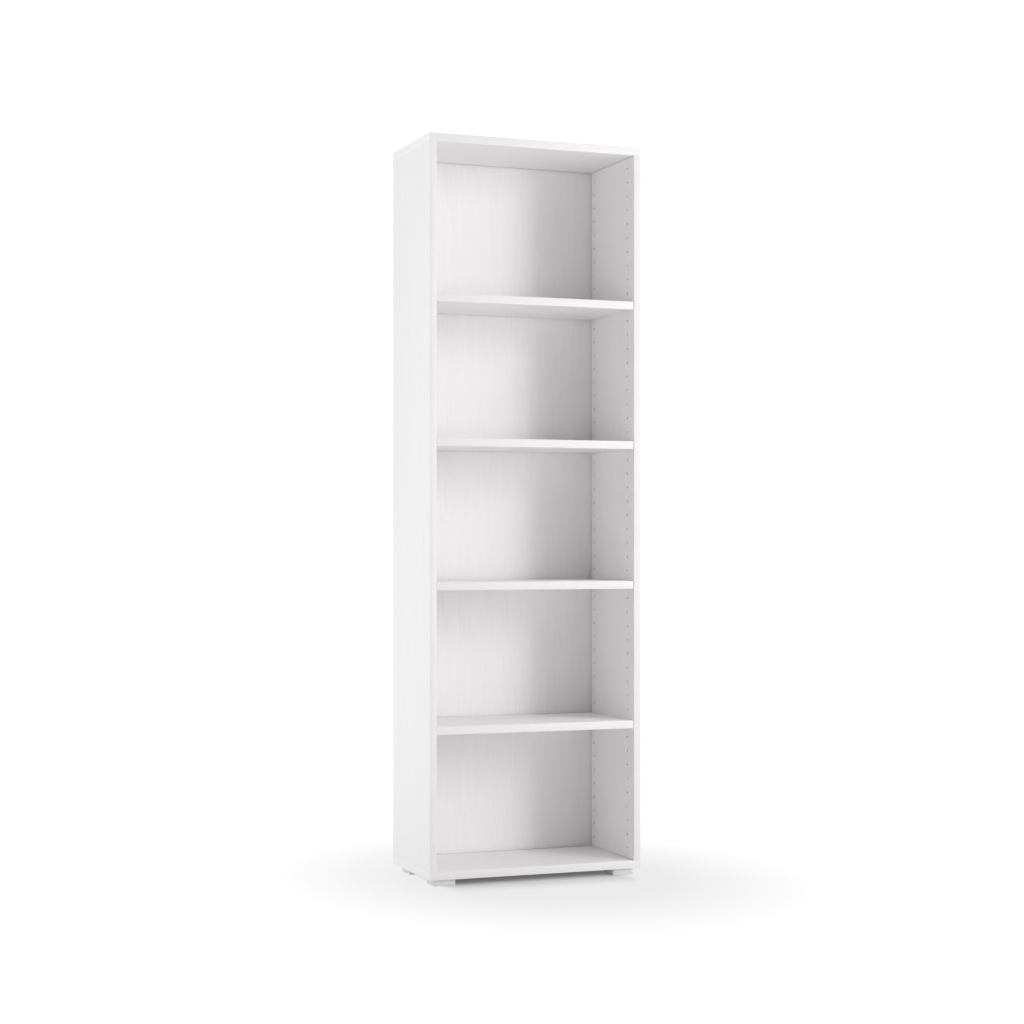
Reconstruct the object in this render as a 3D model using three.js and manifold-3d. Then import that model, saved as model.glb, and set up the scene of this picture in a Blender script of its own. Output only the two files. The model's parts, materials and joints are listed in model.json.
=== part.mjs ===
// Tall open bookcase: a case of five panels on four pad feet, with four loose shelves.
// Each shelf drops over four concealed pins, which plug into rows of holes in the sides.
// Units are millimetres, +Z is up and the front faces -Y. The origin lies on the floor,
// under the middle of the case.

import * as THREE from 'three';
import { mergeVertices } from 'three/addons/utils/BufferGeometryUtils.js';
import Module from 'manifold-3d';

const wasm = await Module();
wasm.setup();

// ---------------------------------------------------------------- driving dimensions

const CASE_WIDTH = 510;
const CASE_DEPTH = 264;
const CASE_HEIGHT = 1652;
const FOOT_HEIGHT = 15;
const SIDE_THICKNESS = 16;
const BOARD_THICKNESS = 18; // top, bottom and shelves

const BACK_THICKNESS = 3;
const BACK_INSET = 13; // from the rear edges of the case to the rear of the back panel
const BACK_TONGUE = 6; // how far the back panel reaches into its grooves
const GROOVE_GAP = 0.3;

const HOLE_PITCH = 32;
const HOLES_PER_COLUMN = 50;
const HOLE_DIAMETER = 5;
const HOLE_DEPTH = 10;
const HOLE_SIDES = 8;
const FRONT_COLUMN_INSET = 37; // from the front edge of the side panel
const COLUMN_SPACING = 192; // six hole pitches

const SHELF_HOLES = [10, 20, 30, 40]; // hole that carries each shelf, counted from the top
const SHELF_END_GAP = 0.5;
const SHELF_FRONT_INSET = 1;
const SHELF_REAR_GAP = 2;

const PIN_STEM_RADIUS = 2.4;
const PIN_STEM_LENGTH = 8.5;
const PIN_HEAD_RADIUS = 3.5;
const PIN_HEAD_LENGTH = 9;
const PIN_CHAMFER = 0.6;
const PIN_SIDES = 8;
const POCKET_LENGTH = 20; // leaves the pin room to be pulled out of its hole
const POCKET_SIDE_GAP = 0.4;
const POCKET_TOP_GAP = 0.1;

const FOOT_WIDTH = 50;
const FOOT_DEPTH = 55;
const FOOT_CORNER_RADIUS = 3;
const FOOT_SIDE_INSET = 14;
const FOOT_FRONT_INSET = 10;
const FOOT_REAR_INSET = 25;
const FOOT_SCREW_SPACING = 28;
const FOOT_COUNTERBORE = { radius: 4.6, depth: 9 };

const CORNER_SCREW_INSET = 50; // from the front and rear edges of the case
const CORNER_SCREW = { headRadius: 5, shankRadius: 3.5, headDepth: 3.5, length: 50 };
const CORNER_SOCKET = { radius: 2.2, depth: 3 };
const CORNER_SCREW_SUNK = 1.5; // from the face of the panel to the head
const FOOT_SCREW = { headRadius: 4, shankRadius: 1.9, headDepth: 2.5, length: 18.5 };
const FOOT_SOCKET = { radius: 1.3, depth: 1.6 };
const SCREW_SIDES = 8;
const SCREW_GAP = 0.3;

const DOWEL = { radius: 4, length: 34, inPanel: 12, chamfer: 1 };
const CAP = { radius: 5.1, topGap: 0.1, edge: 0.4, crownRadius: 4.8, spigotRadius: 1.8, spigot: 2.4 };

const OVERCUT = 1; // how far every cutter runs past the face it starts from

const FINISHES = {
  board: { color: 0xf1eff0, roughness: 0.55, metalness: 0 },
  back: { color: 0xeeeced, roughness: 0.6, metalness: 0 },
  pin: { color: 0xb9bcc0, roughness: 0.3, metalness: 1 },
  screw: { color: 0xa7aaae, roughness: 0.4, metalness: 1 },
  foot: { color: 0xb6babc, roughness: 0.45, metalness: 0 },
  cap: { color: 0xf3f2f2, roughness: 0.4, metalness: 0 },
  dowel: { color: 0xd8b98a, roughness: 0.8, metalness: 0 },
};

// ---------------------------------------------------------------- worked-out places

const HALF_WIDTH = CASE_WIDTH / 2;
const HALF_DEPTH = CASE_DEPTH / 2;
const INNER_HALF_WIDTH = HALF_WIDTH - SIDE_THICKNESS;
const SIDE_MIDDLE_X = HALF_WIDTH - SIDE_THICKNESS / 2;
const SIDE_HEIGHT = CASE_HEIGHT - 2 * BOARD_THICKNESS;

const CASE_BOTTOM_Z = FOOT_HEIGHT;
const CASE_TOP_Z = CASE_BOTTOM_Z + CASE_HEIGHT;
const CASE_MIDDLE_Z = CASE_BOTTOM_Z + CASE_HEIGHT / 2;
const FLOOR_Z = CASE_BOTTOM_Z + BOARD_THICKNESS; // upper face of the bottom panel
const CEILING_Z = CASE_TOP_Z - BOARD_THICKNESS; // lower face of the top panel
const TOP_HOLE_Z = CASE_MIDDLE_Z + (HOLE_PITCH * (HOLES_PER_COLUMN - 1)) / 2;

const BACK_REAR_Y = HALF_DEPTH - BACK_INSET;
const BACK_FRONT_Y = BACK_REAR_Y - BACK_THICKNESS;
const FRONT_COLUMN_Y = -HALF_DEPTH + FRONT_COLUMN_INSET;
const COLUMNS = { front: FRONT_COLUMN_Y, rear: FRONT_COLUMN_Y + COLUMN_SPACING };
const SCREW_ROWS = {
  front: -HALF_DEPTH + CORNER_SCREW_INSET,
  rear: HALF_DEPTH - CORNER_SCREW_INSET,
};
const SIDES = { left: -1, right: 1 };

const FOOT_X = HALF_WIDTH - FOOT_SIDE_INSET - FOOT_WIDTH / 2;
const FOOT_ROWS = {
  front: -HALF_DEPTH + FOOT_FRONT_INSET + FOOT_DEPTH / 2,
  rear: HALF_DEPTH - FOOT_REAR_INSET - FOOT_DEPTH / 2,
};
const FOOT_SCREW_HEAD_Z = FOOT_COUNTERBORE.depth - FOOT_SCREW.headDepth;

// ---------------------------------------------------------------- shape helpers

// A box between two opposite corners.
function boxBetween(low, high) {
  const size = high.map((value, axis) => value - low[axis]);
  const middle = high.map((value, axis) => (value + low[axis]) / 2);
  return new THREE.BoxGeometry(...size).translate(...middle);
}

// A solid of revolution about Z from [radius, z] points that start and end on the axis,
// listed from the lowest to the highest.
function turned(points, sides) {
  const profile = points.map(([radius, z]) => new THREE.Vector2(radius, z));
  return new THREE.LatheGeometry(profile, sides).rotateX(Math.PI / 2);
}

// A cylindrical cutter about Z. Its flats, not its corners, lie at the radius.
function bore(radius, lowZ, highZ, sides = SCREW_SIDES) {
  const cornerRadius = radius / Math.cos(Math.PI / sides);
  const cutter = new THREE.CylinderGeometry(cornerRadius, cornerRadius, highZ - lowZ, sides);
  cutter.rotateY(Math.PI / sides).rotateX(Math.PI / 2);
  return cutter.translate(0, 0, (lowZ + highZ) / 2);
}

// Turns a shape made about +Z, from z = 0 upwards, so that it points along +X or -X.
function pointAlongX(geometry, direction) {
  return geometry.rotateY((direction * Math.PI) / 2);
}

function toSolid(geometry) {
  const bare = geometry.clone();
  bare.deleteAttribute('normal');
  bare.deleteAttribute('uv');
  const merged = mergeVertices(bare, 1e-4);
  return new wasm.Manifold(new wasm.Mesh({
    numProp: 3,
    vertProperties: new Float32Array(merged.attributes.position.array),
    triVerts: new Uint32Array(merged.index.array),
  }));
}

function toGeometry(solid) {
  const mesh = solid.getMesh();
  const geometry = new THREE.BufferGeometry();
  geometry.setAttribute('position', new THREE.BufferAttribute(mesh.vertProperties, 3));
  geometry.setIndex(new THREE.BufferAttribute(mesh.triVerts, 1));
  geometry.computeVertexNormals();
  return geometry;
}

// A shape with every cutter taken out of it.
function cut(geometry, cutters) {
  const whole = cutters.reduce((solid, cutter) => solid.subtract(toSolid(cutter)), toSolid(geometry));
  return toGeometry(whole);
}

const bookcase = new THREE.Group();
bookcase.name = 'bookcase';

function addPiece(name, geometry, finish, parent = bookcase) {
  const mesh = new THREE.Mesh(geometry, new THREE.MeshStandardMaterial(FINISHES[finish]));
  mesh.name = name;
  parent.add(mesh);
  return mesh;
}

// ---------------------------------------------------------------- fasteners

// A flat-headed screw that points down from z = 0, with a socket in its head.
function screwGeometry(screw, socket) {
  const tipRadius = screw.shankRadius / 3;
  const tipLength = 2 * screw.shankRadius;
  const rimDepth = screw.headDepth / 3;
  return turned([
    [0, -screw.length],
    [tipRadius, -screw.length],
    [screw.shankRadius, -screw.length + tipLength],
    [screw.shankRadius, -screw.headDepth],
    [screw.headRadius, -rimDepth],
    [screw.headRadius, 0],
    [socket.radius, 0],
    [socket.radius, -socket.depth],
    [0, -socket.depth],
  ], SCREW_SIDES);
}

function cornerScrewGeometry() {
  return screwGeometry(CORNER_SCREW, CORNER_SOCKET).translate(0, 0, -CORNER_SCREW_SUNK);
}

// The hole that a corner screw needs, from the panel's face at z = 0 down to past its tip.
function cornerScrewBores() {
  const headSeat = -CORNER_SCREW_SUNK - CORNER_SCREW.headDepth;
  const tip = -CORNER_SCREW_SUNK - CORNER_SCREW.length;
  return [
    bore(CORNER_SCREW.headRadius + SCREW_GAP, headSeat, OVERCUT),
    bore(CORNER_SCREW.shankRadius + SCREW_GAP, tip - OVERCUT, headSeat + OVERCUT),
  ];
}

// Corner screws and dowels share one place for each corner of the case. A corner's level
// is the outer face of the top or bottom panel, and up is 1 at the top and -1 below.
const LEVELS = { top: { z: CASE_TOP_Z, up: 1 }, bottom: { z: CASE_BOTTOM_Z, up: -1 } };

function atLevel(geometry, level, x, y) {
  if (level.up < 0) geometry.rotateX(Math.PI);
  return geometry.translate(x, y, level.z);
}

function cornerCutters(level, sideX) {
  const screwHoles = Object.values(SCREW_ROWS).flatMap((y) =>
    cornerScrewBores().map((cutter) => atLevel(cutter, level, sideX, y)));
  const jointDepth = -BOARD_THICKNESS;
  const dowelHole = bore(
    DOWEL.radius + SCREW_GAP,
    jointDepth - (DOWEL.length - DOWEL.inPanel) - OVERCUT,
    jointDepth + DOWEL.inPanel + OVERCUT,
  );
  return [...screwHoles, atLevel(dowelHole, level, sideX, 0)];
}

function dowelGeometry() {
  const high = -BOARD_THICKNESS + DOWEL.inPanel;
  const low = high - DOWEL.length;
  return turned([
    [0, low],
    [DOWEL.radius - DOWEL.chamfer, low],
    [DOWEL.radius, low + DOWEL.chamfer],
    [DOWEL.radius, high - DOWEL.chamfer],
    [DOWEL.radius - DOWEL.chamfer, high],
    [0, high],
  ], SCREW_SIDES);
}

function addCornerFasteners() {
  for (const [levelName, level] of Object.entries(LEVELS)) {
    for (const [sideName, sign] of Object.entries(SIDES)) {
      const x = sign * SIDE_MIDDLE_X;
      for (const [rowName, y] of Object.entries(SCREW_ROWS)) {
        const name = `corner_screw_${levelName}_${rowName}_${sideName}`;
        addPiece(name, atLevel(cornerScrewGeometry(), level, x, y), 'screw');
      }
      addPiece(`dowel_${levelName}_${sideName}`, atLevel(dowelGeometry(), level, x, 0), 'dowel');
    }
  }
}

// Flush caps cover the sunk heads of the upper corner screws.
function addScrewCaps() {
  const underside = -CORNER_SCREW_SUNK;
  for (const [sideName, sign] of Object.entries(SIDES)) {
    for (const [rowName, y] of Object.entries(SCREW_ROWS)) {
      const cap = turned([
        [0, underside - CAP.spigot],
        [CAP.spigotRadius, underside - CAP.spigot],
        [CAP.spigotRadius, underside],
        [CAP.radius, underside],
        [CAP.radius, -CAP.topGap - CAP.edge],
        [CAP.crownRadius, -CAP.topGap],
        [0, -CAP.topGap],
      ], SCREW_SIDES);
      addPiece(`screw_cap_${rowName}_${sideName}`, cap, 'cap')
        .position.set(sign * SIDE_MIDDLE_X, y, CASE_TOP_Z);
    }
  }
}

// ---------------------------------------------------------------- case panels

function backPanelBox(grow) {
  const halfWidth = INNER_HALF_WIDTH + BACK_TONGUE + grow;
  return boxBetween(
    [-halfWidth, BACK_FRONT_Y - grow, FLOOR_Z - BACK_TONGUE - grow],
    [halfWidth, BACK_REAR_Y + grow, CEILING_Z + BACK_TONGUE + grow],
  );
}

// Every blind hole of one side panel, cut outwards from its inner face.
function pinHoles(sign) {
  const cutters = [];
  for (const y of Object.values(COLUMNS)) {
    for (let row = 0; row < HOLES_PER_COLUMN; row += 1) {
      const cutter = bore(HOLE_DIAMETER / 2, -OVERCUT, HOLE_DEPTH, HOLE_SIDES);
      pointAlongX(cutter, sign);
      cutters.push(cutter.translate(sign * INNER_HALF_WIDTH, y, TOP_HOLE_Z - row * HOLE_PITCH));
    }
  }
  return cutters;
}

function addSidePanels() {
  for (const [sideName, sign] of Object.entries(SIDES)) {
    const innerX = sign * INNER_HALF_WIDTH;
    const outerX = sign * HALF_WIDTH;
    const board = boxBetween(
      [Math.min(innerX, outerX), -HALF_DEPTH, FLOOR_Z],
      [Math.max(innerX, outerX), HALF_DEPTH, FLOOR_Z + SIDE_HEIGHT],
    );
    const cornerHoles = Object.values(LEVELS).flatMap((level) =>
      cornerCutters(level, sign * SIDE_MIDDLE_X));
    const cutters = [...pinHoles(sign), ...cornerHoles, backPanelBox(GROOVE_GAP)];
    addPiece(`${sideName}_side_panel`, cut(board, cutters), 'board');
  }
}

function addTopAndBottomPanels() {
  const panels = {
    top_panel: { lowZ: CEILING_Z, level: LEVELS.top, extraCutters: [] },
    bottom_panel: { lowZ: CASE_BOTTOM_Z, level: LEVELS.bottom, extraCutters: footScrewPilots() },
  };
  for (const [name, { lowZ, level, extraCutters }] of Object.entries(panels)) {
    const board = boxBetween(
      [-HALF_WIDTH, -HALF_DEPTH, lowZ],
      [HALF_WIDTH, HALF_DEPTH, lowZ + BOARD_THICKNESS],
    );
    const cornerHoles = Object.values(SIDES).flatMap((sign) =>
      cornerCutters(level, sign * SIDE_MIDDLE_X));
    addPiece(name, cut(board, [...cornerHoles, backPanelBox(GROOVE_GAP), ...extraCutters]), 'board');
  }
}

// ---------------------------------------------------------------- feet

function footPlaces() {
  return Object.entries(FOOT_ROWS).flatMap(([rowName, y]) =>
    Object.entries(SIDES).map(([sideName, sign]) => ({
      name: `${rowName}_${sideName}`,
      x: sign * FOOT_X,
      y,
    })));
}

// Offsets of a foot's two screws from its middle, along the width of the case.
const FOOT_SCREW_OFFSETS = { outer: -FOOT_SCREW_SPACING / 2, inner: FOOT_SCREW_SPACING / 2 };

function footScrewX(foot, offset) {
  return foot.x - Math.sign(foot.x) * offset;
}

function footScrewPilots() {
  const screwTip = FOOT_SCREW_HEAD_Z + FOOT_SCREW.length;
  return footPlaces().flatMap((foot) =>
    Object.values(FOOT_SCREW_OFFSETS).map((offset) =>
      bore(FOOT_SCREW.shankRadius + SCREW_GAP, CASE_BOTTOM_Z - OVERCUT, screwTip + OVERCUT)
        .translate(footScrewX(foot, offset), foot.y, 0)));
}

function footGeometry() {
  const x = FOOT_WIDTH / 2;
  const y = FOOT_DEPTH / 2;
  const r = FOOT_CORNER_RADIUS;
  const outline = new THREE.Shape()
    .moveTo(-x + r, -y)
    .lineTo(x - r, -y)
    .absarc(x - r, -y + r, r, -Math.PI / 2, 0)
    .lineTo(x, y - r)
    .absarc(x - r, y - r, r, 0, Math.PI / 2)
    .lineTo(-x + r, y)
    .absarc(-x + r, y - r, r, Math.PI / 2, Math.PI)
    .lineTo(-x, -y + r)
    .absarc(-x + r, -y + r, r, Math.PI, 1.5 * Math.PI);
  const block = new THREE.ExtrudeGeometry(outline, {
    depth: FOOT_HEIGHT,
    bevelEnabled: false,
    curveSegments: 3,
  });
  const cutters = Object.values(FOOT_SCREW_OFFSETS).flatMap((offset) => [
    bore(FOOT_COUNTERBORE.radius, -OVERCUT, FOOT_COUNTERBORE.depth).translate(offset, 0, 0),
    bore(FOOT_SCREW.shankRadius + SCREW_GAP, -OVERCUT, FOOT_HEIGHT + OVERCUT).translate(offset, 0, 0),
  ]);
  return cut(block, cutters);
}

function addFeet() {
  for (const foot of footPlaces()) {
    addPiece(`foot_${foot.name}`, footGeometry(), 'foot').position.set(foot.x, foot.y, 0);
    for (const [offsetName, offset] of Object.entries(FOOT_SCREW_OFFSETS)) {
      const screw = screwGeometry(FOOT_SCREW, FOOT_SOCKET).rotateX(Math.PI);
      addPiece(`foot_screw_${foot.name}_${offsetName}`, screw, 'screw')
        .position.set(footScrewX(foot, offset), foot.y, FOOT_SCREW_HEAD_Z);
    }
  }
}

// ---------------------------------------------------------------- shelves and their pins

// A milled pocket under one end of a shelf, open below and at the end. It runs along +X
// from x = 0 to a round end, and its roof is POCKET_TOP_GAP above the pin at y = z = 0.
function pocketCutter() {
  const half = PIN_HEAD_RADIUS + POCKET_SIDE_GAP;
  const straight = POCKET_LENGTH - half;
  const outline = new THREE.Shape()
    .moveTo(-OVERCUT, -half)
    .lineTo(straight, -half)
    .absarc(straight, 0, half, -Math.PI / 2, Math.PI / 2)
    .lineTo(-OVERCUT, half);
  const roof = PIN_HEAD_RADIUS + POCKET_TOP_GAP;
  const depth = BOARD_THICKNESS / 2 + roof + OVERCUT;
  const cutter = new THREE.ExtrudeGeometry(outline, { depth, bevelEnabled: false, curveSegments: 6 });
  return cutter.translate(0, 0, roof - depth);
}

function pinGeometry() {
  return turned([
    [0, -PIN_STEM_LENGTH],
    [PIN_STEM_RADIUS - PIN_CHAMFER, -PIN_STEM_LENGTH],
    [PIN_STEM_RADIUS, -PIN_STEM_LENGTH + PIN_CHAMFER],
    [PIN_STEM_RADIUS, 0],
    [PIN_HEAD_RADIUS, 0],
    [PIN_HEAD_RADIUS, PIN_HEAD_LENGTH - PIN_CHAMFER],
    [PIN_HEAD_RADIUS - PIN_CHAMFER, PIN_HEAD_LENGTH],
    [0, PIN_HEAD_LENGTH],
  ], PIN_SIDES);
}

function shelfGeometry() {
  const halfWidth = INNER_HALF_WIDTH - SHELF_END_GAP;
  const board = boxBetween(
    [-halfWidth, -HALF_DEPTH + SHELF_FRONT_INSET, -BOARD_THICKNESS / 2],
    [halfWidth, BACK_FRONT_Y - SHELF_REAR_GAP, BOARD_THICKNESS / 2],
  );
  const pockets = Object.values(SIDES).flatMap((sign) =>
    Object.values(COLUMNS).map((y) => {
      const cutter = pocketCutter();
      if (sign > 0) cutter.rotateZ(Math.PI);
      return cutter.translate(sign * halfWidth, y, 0);
    }));
  return cut(board, pockets);
}

function addShelves() {
  SHELF_HOLES.forEach((hole, index) => {
    const shelfName = `shelf_${index + 1}`;
    const level = new THREE.Group();
    level.position.z = TOP_HOLE_Z - hole * HOLE_PITCH;
    bookcase.add(level);
    addPiece(shelfName, shelfGeometry(), 'board', level);
    for (const [columnName, y] of Object.entries(COLUMNS)) {
      for (const [sideName, sign] of Object.entries(SIDES)) {
        const pin = pointAlongX(pinGeometry(), -sign);
        addPiece(`${shelfName}_pin_${columnName}_${sideName}`, pin, 'pin', level)
          .position.set(sign * INNER_HALF_WIDTH, y, 0);
      }
    }
  });
}

// ---------------------------------------------------------------- the whole bookcase

addSidePanels();
addTopAndBottomPanels();
addPiece('back_panel', backPanelBox(0), 'back');
addCornerFasteners();
addScrewCaps();
addFeet();
addShelves();

export default bookcase;
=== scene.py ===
# Tall open bookcase in white ash-grain board, shown on a plain pale floor in soft studio light.
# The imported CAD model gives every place. This script makes the finished pieces around it.

import json
import math

import bmesh
import bpy
from mathutils import Matrix, Vector

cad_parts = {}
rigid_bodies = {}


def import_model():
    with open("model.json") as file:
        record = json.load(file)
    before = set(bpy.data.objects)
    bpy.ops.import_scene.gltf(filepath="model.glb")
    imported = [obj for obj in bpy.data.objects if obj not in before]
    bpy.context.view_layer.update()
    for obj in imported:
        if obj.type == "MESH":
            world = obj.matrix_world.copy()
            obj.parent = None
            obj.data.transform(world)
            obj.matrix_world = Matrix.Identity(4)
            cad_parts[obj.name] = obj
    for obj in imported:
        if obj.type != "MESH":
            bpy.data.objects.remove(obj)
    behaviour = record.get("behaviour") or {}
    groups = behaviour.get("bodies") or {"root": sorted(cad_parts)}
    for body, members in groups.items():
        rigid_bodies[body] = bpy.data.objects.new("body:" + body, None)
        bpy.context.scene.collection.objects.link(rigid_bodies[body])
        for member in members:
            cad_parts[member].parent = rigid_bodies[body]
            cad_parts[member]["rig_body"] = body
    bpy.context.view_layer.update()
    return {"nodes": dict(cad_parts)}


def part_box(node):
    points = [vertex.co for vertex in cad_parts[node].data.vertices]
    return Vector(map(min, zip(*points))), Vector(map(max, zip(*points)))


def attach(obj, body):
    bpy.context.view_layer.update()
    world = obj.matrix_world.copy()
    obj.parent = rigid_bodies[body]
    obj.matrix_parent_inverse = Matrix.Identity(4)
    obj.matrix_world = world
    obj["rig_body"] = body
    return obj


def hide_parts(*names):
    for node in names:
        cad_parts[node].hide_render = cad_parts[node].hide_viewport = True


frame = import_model()

MM = 0.001

# ---------------------------------------------------------------- camera

CAMERA_PLACE = Vector((-1.736, -4.469, 0.762))
CAMERA_TURN = math.radians(21.12)  # from straight ahead towards the right
CAMERA_LENS = 72.97
CAMERA_SENSOR = 36.0
CAMERA_SHIFT = 0.0297


def make_camera():
    data = bpy.data.cameras.new("camera")
    data.lens = CAMERA_LENS
    data.sensor_width = CAMERA_SENSOR
    data.shift_y = CAMERA_SHIFT
    data.clip_end = 100.0
    camera = bpy.data.objects.new("camera", data)
    camera.location = CAMERA_PLACE
    camera.rotation_euler = (math.pi / 2, 0.0, -CAMERA_TURN)
    bpy.context.scene.collection.objects.link(camera)
    bpy.context.scene.camera = camera


make_camera()

# ---------------------------------------------------------------- material helpers


def start_material(name):
    """A new node material, with its node tree and its shader."""
    material = bpy.data.materials.new(name)
    material.use_nodes = True
    tree = material.node_tree
    return material, tree, tree.nodes["Principled BSDF"]


def add(tree, kind, inputs, **settings):
    """Adds a node. An input is a value, or the output socket that feeds it."""
    node = tree.nodes.new(kind)
    for key, value in settings.items():
        setattr(node, key, value)
    for key, value in inputs.items():
        if isinstance(value, bpy.types.NodeSocket):
            tree.links.new(value, node.inputs[key])
        else:
            node.inputs[key].default_value = value
    return node


def cells(tree, per_metre, offset=(0.0, 0.0, 0.0)):
    """The piece's own coordinates, scaled to so many texture cells a metre along X, Y and Z."""
    place = add(tree, "ShaderNodeTexCoord", {}).outputs["Object"]
    return add(tree, "ShaderNodeMapping",
               {"Vector": place, "Scale": per_metre, "Location": offset}).outputs["Vector"]


def noise(tree, per_metre, detail=2.0, roughness=0.5, distortion=0.0, offset=(0.0, 0.0, 0.0)):
    return add(tree, "ShaderNodeTexNoise", {
        "Vector": cells(tree, per_metre, offset), "Scale": 1.0, "Detail": detail,
        "Roughness": roughness, "Distortion": distortion}).outputs["Fac"]


def spread(tree, value, low, high, to_low=0.0, to_high=1.0):
    """Maps a value from one range to another, with its ends held."""
    return add(tree, "ShaderNodeMapRange", {
        "Value": value, "From Min": low, "From Max": high,
        "To Min": to_low, "To Max": to_high}, clamp=True).outputs["Result"]


def reckon(tree, operation, first, second):
    node = tree.nodes.new("ShaderNodeMath")
    node.operation = operation
    for socket, value in zip(node.inputs, (first, second)):
        if isinstance(value, bpy.types.NodeSocket):
            tree.links.new(value, socket)
        else:
            socket.default_value = value
    return node.outputs[0]


def arrow(tree, operation, first, second=None):
    """Vector arithmetic. A length comes out as a value, anything else as a vector."""
    node = tree.nodes.new("ShaderNodeVectorMath")
    node.operation = operation
    tree.links.new(first, node.inputs[0])
    if second is not None:
        node.inputs[1].default_value = second
    return node.outputs["Value" if operation == "LENGTH" else "Vector"]


def blend_colours(tree, factor, first, second):
    node = tree.nodes.new("ShaderNodeMix")
    node.data_type = "RGBA"
    tree.links.new(factor, node.inputs[0])
    for socket, value in zip(node.inputs[6:8], (first, second)):
        if isinstance(value, bpy.types.NodeSocket):
            tree.links.new(value, socket)
        else:
            socket.default_value = (*value, 1.0)
    return node.outputs[2]


def add_bump(tree, shader, height, depth, strength=1.0):
    """Relief on the shader, where a height of 1 stands depth metres above a height of 0."""
    bump = add(tree, "ShaderNodeBump",
               {"Height": height, "Distance": depth, "Strength": strength})
    tree.links.new(bump.outputs["Normal"], shader.inputs["Normal"])


# ---------------------------------------------------------------- materials

FOIL_WHITE = (0.925, 0.912, 0.916)
FOIL_STREAK = (0.900, 0.886, 0.889)
FOIL_PORE = (0.815, 0.800, 0.803)
EDGING_TINT = 0.92  # shares of the foil's brightness
BACK_TINT = 0.995

# Texture cells a metre across the grain and along it.
STREAK_CELLS = (420.0, 6.0)
FIGURE_CELLS = (60.0, 1.6)
PORE_CELLS = (1150.0, 19.0)
GRIT_CELLS = 5200.0


def foil_material(name, along, tint=1.0):
    """White ash-grain foil: long soft streaks and fine open pores that run along one axis."""
    material, tree, shader = start_material(name)

    def grained(cell_counts, low, high, **settings):
        across, lengthwise = cell_counts
        per_metre = [lengthwise if axis == along else across for axis in range(3)]
        return spread(tree, noise(tree, per_metre, **settings), low, high)

    streaks = grained(STREAK_CELLS, 0.38, 0.68, detail=4.0, roughness=0.55)
    figure = grained(FIGURE_CELLS, 0.36, 0.66, detail=2.0, distortion=0.6)
    pores = grained(PORE_CELLS, 0.57, 0.70, detail=2.0, roughness=0.4)
    tone = reckon(tree, "MULTIPLY", streaks, spread(tree, figure, 0.0, 1.0, 0.5, 1.0))
    lit = [channel * tint for channel in FOIL_WHITE]
    shaded = [channel * tint for channel in FOIL_STREAK]
    pore = [channel * tint for channel in FOIL_PORE]
    ground = blend_colours(tree, tone, lit, shaded)
    pore_share = reckon(tree, "MULTIPLY", pores, spread(tree, figure, 0.0, 1.0, 0.4, 0.75))
    tree.links.new(blend_colours(tree, pore_share, ground, pore), shader.inputs["Base Color"])
    grit = noise(tree, [GRIT_CELLS] * 3, detail=1.0)
    gloss = reckon(tree, "ADD", spread(tree, tone, 0.0, 1.0, 0.50, 0.56),
                   spread(tree, grit, 0.3, 0.7, 0.0, 0.05))
    tree.links.new(gloss, shader.inputs["Roughness"])
    relief = reckon(tree, "SUBTRACT", reckon(tree, "MULTIPLY", grit, 0.25), pore_share)
    add_bump(tree, shader, relief, 0.03 * MM, 0.6)
    return material


def core_material():
    """Grey-brown chipboard, as a cutter leaves it: flakes pressed together."""
    material, tree, shader = start_material("chipboard_core")
    flakes = add(tree, "ShaderNodeTexVoronoi",
                 {"Vector": cells(tree, (520.0, 520.0, 1100.0)), "Scale": 1.0})
    shade = add(tree, "ShaderNodeSeparateColor", {"Color": flakes.outputs["Color"]}).outputs["Red"]
    flecks = spread(tree, noise(tree, [900.0] * 3, detail=3.0), 0.45, 0.7)
    ground = blend_colours(tree, shade, (0.44, 0.41, 0.38), (0.56, 0.53, 0.50))
    colour = blend_colours(tree, reckon(tree, "MULTIPLY", flecks, 0.5), ground, (0.33, 0.29, 0.26))
    tree.links.new(colour, shader.inputs["Base Color"])
    shader.inputs["Roughness"].default_value = 0.9
    add_bump(tree, shader, reckon(tree, "ADD", shade, flecks), 0.15 * MM)
    return material


def hole_material():
    """The white coating inside the bored shelf holes, with faint turning marks."""
    material, tree, shader = start_material("hole_lining")
    marks = noise(tree, (2600.0, 400.0, 400.0), detail=2.0)
    colour = blend_colours(tree, marks, (0.70, 0.69, 0.69), (0.82, 0.81, 0.81))
    tree.links.new(colour, shader.inputs["Base Color"])
    shader.inputs["Roughness"].default_value = 0.7
    add_bump(tree, shader, marks, 0.05 * MM)
    return material


def hardboard_material():
    """The unseen rear of the back panel: off-white paper over fine, slightly mottled fibre."""
    material, tree, shader = start_material("back_rear_paper")
    mottle = noise(tree, [60.0] * 3, detail=6.0, roughness=0.65)
    fibre = spread(tree, noise(tree, (1500.0, 1500.0, 240.0), detail=3.0), 0.45, 0.75)
    ground = blend_colours(tree, mottle, (0.74, 0.72, 0.68), (0.80, 0.785, 0.75))
    colour = blend_colours(tree, reckon(tree, "MULTIPLY", fibre, 0.5), ground, (0.66, 0.63, 0.57))
    tree.links.new(colour, shader.inputs["Base Color"])
    shader.inputs["Roughness"].default_value = 0.82
    add_bump(tree, shader, reckon(tree, "ADD", mottle, fibre), 0.06 * MM)
    return material


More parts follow.
